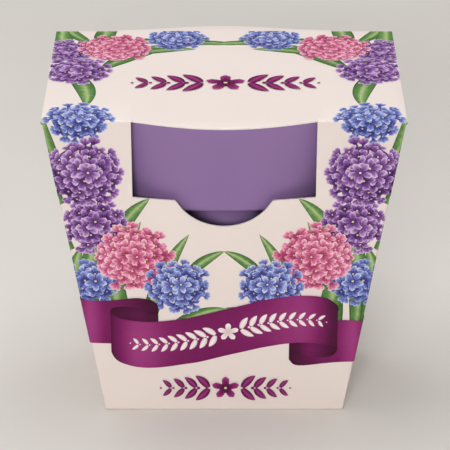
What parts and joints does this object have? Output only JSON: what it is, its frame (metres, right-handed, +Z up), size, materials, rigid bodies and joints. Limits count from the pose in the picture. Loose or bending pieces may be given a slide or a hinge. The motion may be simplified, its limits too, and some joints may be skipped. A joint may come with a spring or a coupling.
{
  "type": "windowed gift carton with bulb vase",
  "caption": "Tapered folding gift carton with a hinged lid, a front window with a thumb notch, and a hollow cup-shaped bulb vase inside.",
  "frame": {"origin": "middle of the carton's base, on the surface that it stands on", "axes": "+X to the right as seen from the front, +Y towards the back, +Z up; the front wall with the window faces -Y"},
  "size_m": [0.13, 0.102, 0.128],
  "materials": {
    "board": "matte coated folding board, printed outside, about 0.6 mm thick",
    "vase": "matte moulded purple"
  },
  "bodies": {
    "carton": {"front_panel": "board", "back_panel": "board", "left_panel": "board", "right_panel": "board", "glue_flap": "board", "bottom_panel": "board", "bottom_tuck_flap": "board", "bottom_left_flap": "board", "bottom_right_flap": "board", "bulb_vase": "vase"},
    "lid": {"lid_panel": "board", "lid_tuck_flap": "board"},
    "left_flap": {"left_dust_flap": "board"},
    "right_flap": {"right_dust_flap": "board"}
  },
  "joints": [
    {"name": "lid_fold", "type": "hinge", "parent": "carton", "child": "lid", "pos_m": [0, -0.0455, 0.128], "axis": [1, 0, 0], "range_deg": [0, 100]},
    {"name": "left_flap_fold", "type": "hinge", "parent": "carton", "child": "left_flap", "pos_m": [-0.0648, 0, 0.127], "axis": [0, -1, 0], "range_deg": [0, 100]},
    {"name": "right_flap_fold", "type": "hinge", "parent": "carton", "child": "right_flap", "pos_m": [0.0648, 0, 0.127], "axis": [0, 1, 0], "range_deg": [0, 100]}
  ],
  "couplings": [
    {"joint": "left_flap_fold", "follows": "lid_fold", "ratio": 1},
    {"joint": "right_flap_fold", "follows": "lid_fold", "ratio": 1}
  ]
}
